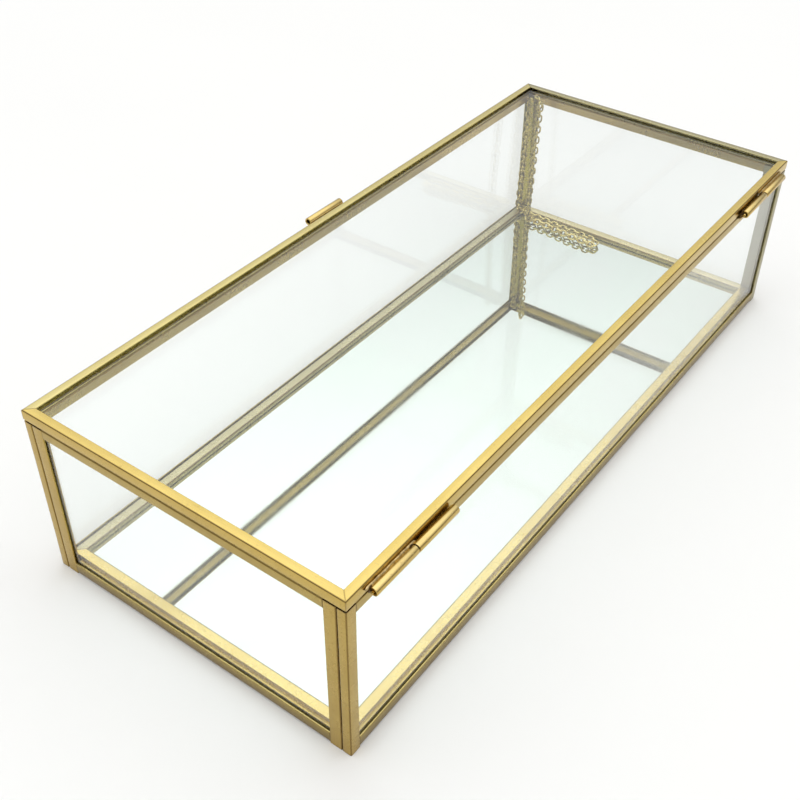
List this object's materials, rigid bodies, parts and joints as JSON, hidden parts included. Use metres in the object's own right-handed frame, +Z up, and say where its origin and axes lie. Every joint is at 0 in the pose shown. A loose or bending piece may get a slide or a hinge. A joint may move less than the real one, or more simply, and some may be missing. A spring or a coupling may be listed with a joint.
{
  "type": "jewelry box",
  "caption": "Long rectangular glass jewelry box in a brass channel frame, with a hinged glass lid, a lift tab, a mirrored floor and a stay chain.",
  "frame": {"origin": "middle of the footprint, on the surface that the box rests on; the hinge barrels and the lift tab stand out equally far, so this is also the middle of the bounding box's bottom", "axes": "+X along the long side, towards the end without the chain; +Y towards the hinged back; +Z up"},
  "size_m": [0.2338, 0.1054, 0.0553],
  "materials": {
    "frame_brass": "folded sheet, satin, slightly tarnished",
    "lid_brass": "folded sheet, semi-bright",
    "hinge_brass": "drawn tube, satin",
    "chain_brass": "bright round wire",
    "clear_glass": "clear float glass",
    "mirror": "silvered, polished"
  },
  "bodies": {
    "box": {"base_mirror": "mirror", "floor_frame_front": "frame_brass", "floor_frame_back": "frame_brass", "floor_frame_left": "frame_brass", "floor_frame_right": "frame_brass", "sill_front": "frame_brass", "sill_back": "frame_brass", "sill_left": "frame_brass", "sill_right": "frame_brass", "rim_front": "frame_brass", "rim_back": "frame_brass", "rim_left": "frame_brass", "rim_right": "frame_brass", "post_front_left_long_side": "frame_brass", "post_front_left_short_side": "frame_brass", "post_front_right_long_side": "frame_brass", "post_front_right_short_side": "frame_brass", "post_back_left_long_side": "frame_brass", "post_back_left_short_side": "frame_brass", "post_back_right_long_side": "frame_brass", "post_back_right_short_side": "frame_brass", "glass_front": "clear_glass", "glass_back": "clear_glass", "glass_left": "clear_glass", "glass_right": "clear_glass", "hinge_barrel_box_left": "hinge_brass", "hinge_barrel_box_right": "hinge_brass", "hinge_pin_left": "hinge_brass", "hinge_pin_right": "hinge_brass", "chain_eye_box": "chain_brass"},
    "lid": {"lid_rail_front": "lid_brass", "lid_rail_back": "lid_brass", "lid_rail_left": "lid_brass", "lid_rail_right": "lid_brass", "lid_glass": "clear_glass", "hinge_barrel_lid_left": "hinge_brass", "hinge_barrel_lid_right": "hinge_brass", "lift_tab": "hinge_brass", "chain_eye_lid": "chain_brass", "chain_tie_lid": "chain_brass"},
    "chain_box_hanging": {"chain_box_hanging_run": "chain_brass"},
    "chain_box_floor": {"chain_box_floor_run": "chain_brass"},
    "chain_lid_hanging": {"chain_lid_hanging_run": "chain_brass"},
    "chain_lid_floor": {"chain_lid_floor_run": "chain_brass"}
  },
  "joints": [
    {"name": "lid_hinge", "type": "hinge", "parent": "box", "child": "lid", "pos_m": [0, 0.05145, 0.052], "axis": [-1, 0, 0], "range_deg": [0, 111]},
    {"name": "chain_box_swing", "type": "hinge", "parent": "box", "child": "chain_box_hanging", "pos_m": [-0.1121, -0.04565, 0.0492], "axis": [1, 0, 0], "range_deg": [0, 124.65]},
    {"name": "chain_box_fold", "type": "hinge", "parent": "chain_box_hanging", "child": "chain_box_floor", "pos_m": [-0.1094, -0.04565, 0.0051], "axis": [-1, 0, 0], "range_deg": [0, 90.01]},
    {"name": "chain_lid_swing", "type": "hinge", "parent": "lid", "child": "chain_lid_hanging", "pos_m": [-0.1092, -0.0398, 0.0503], "axis": [1, 0, 0], "range_deg": [0, 55.65]},
    {"name": "chain_lid_fold", "type": "hinge", "parent": "chain_lid_hanging", "child": "chain_lid_floor", "pos_m": [-0.1062, -0.0398, 0.0051], "axis": [-1, 0, 0], "range_deg": [0, 90.01]}
  ],
  "couplings": [
    {"joint": "chain_box_swing", "follows": "lid_hinge", "ratio": 1.1229},
    {"joint": "chain_box_fold", "follows": "lid_hinge", "ratio": 0.81081},
    {"joint": "chain_lid_swing", "follows": "lid_hinge", "ratio": 0.50131},
    {"joint": "chain_lid_fold", "follows": "lid_hinge", "ratio": 0.81081}
  ]
}
